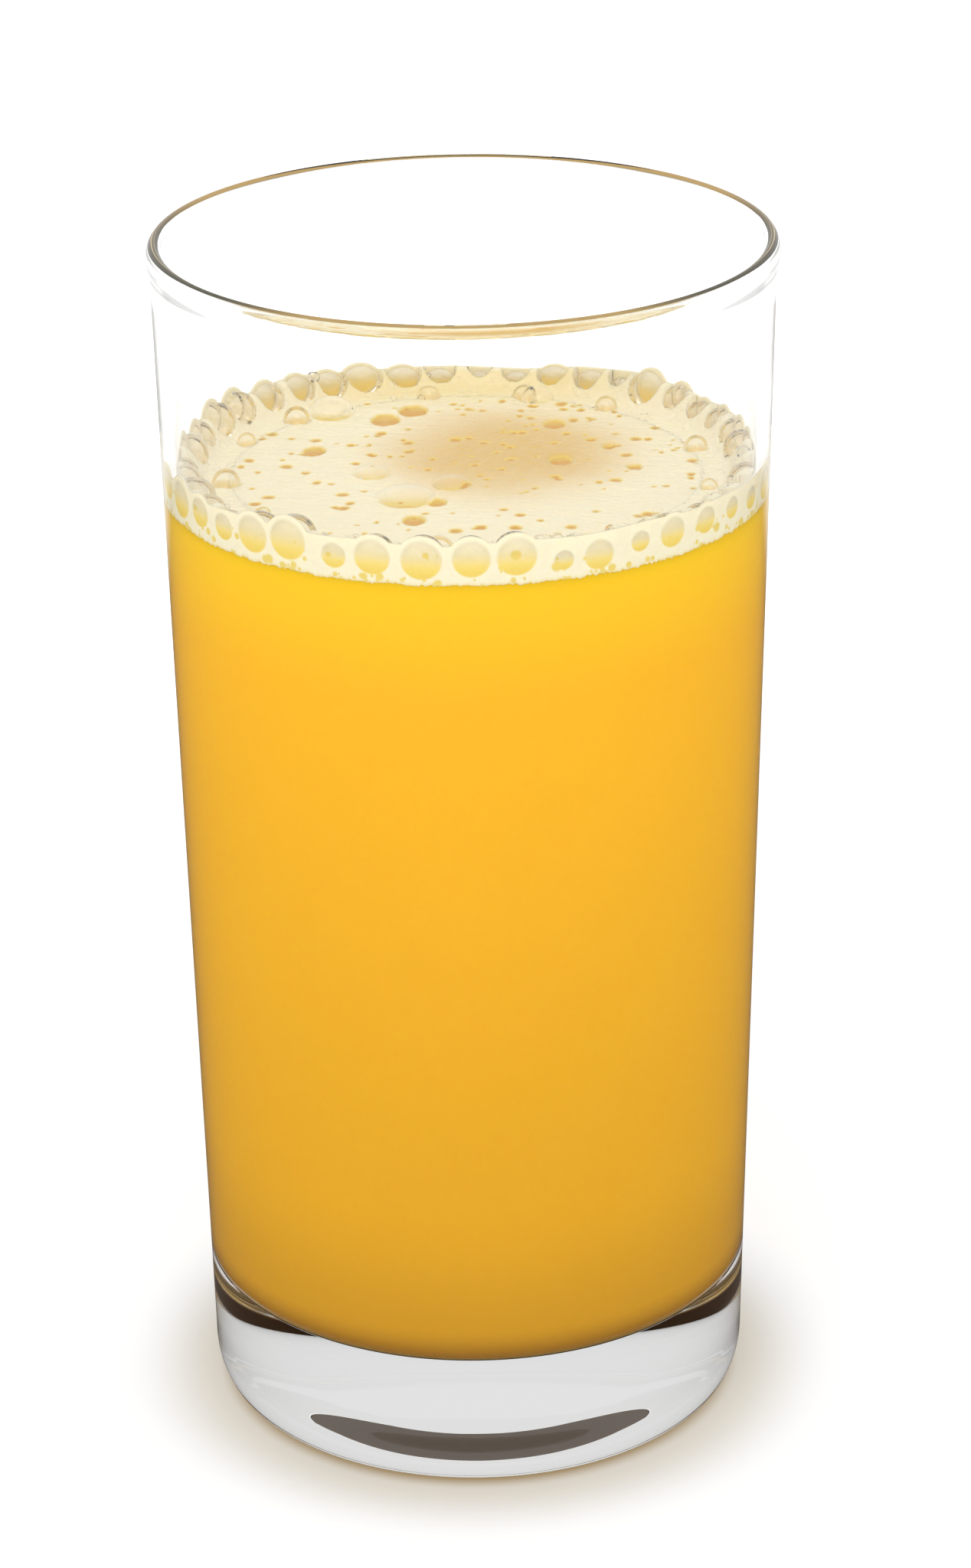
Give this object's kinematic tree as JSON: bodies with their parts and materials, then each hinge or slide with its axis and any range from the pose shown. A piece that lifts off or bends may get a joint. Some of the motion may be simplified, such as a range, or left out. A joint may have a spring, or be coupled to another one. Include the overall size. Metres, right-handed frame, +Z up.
{
  "type": "glass of orange juice",
  "caption": "Tall clear tumbler with a heavy base, filled with orange juice that carries a film of froth and a collar of bubbles along the wall.",
  "frame": {"origin": "centre of the glass's foot, on the surface it stands on", "axes": "+Z up along the glass's axis; -Y towards the viewer of the picture; +X to the viewer's right"},
  "size_m": [0.074, 0.074, 0.1488],
  "materials": {
    "clear_glass": "clear and polished",
    "orange_juice": "cloudy liquid",
    "cream_froth": "wet froth"
  },
  "bodies": {
    "root": {"glass": "clear_glass", "juice": "orange_juice", "froth": "cream_froth"}
  },
  "joints": []
}
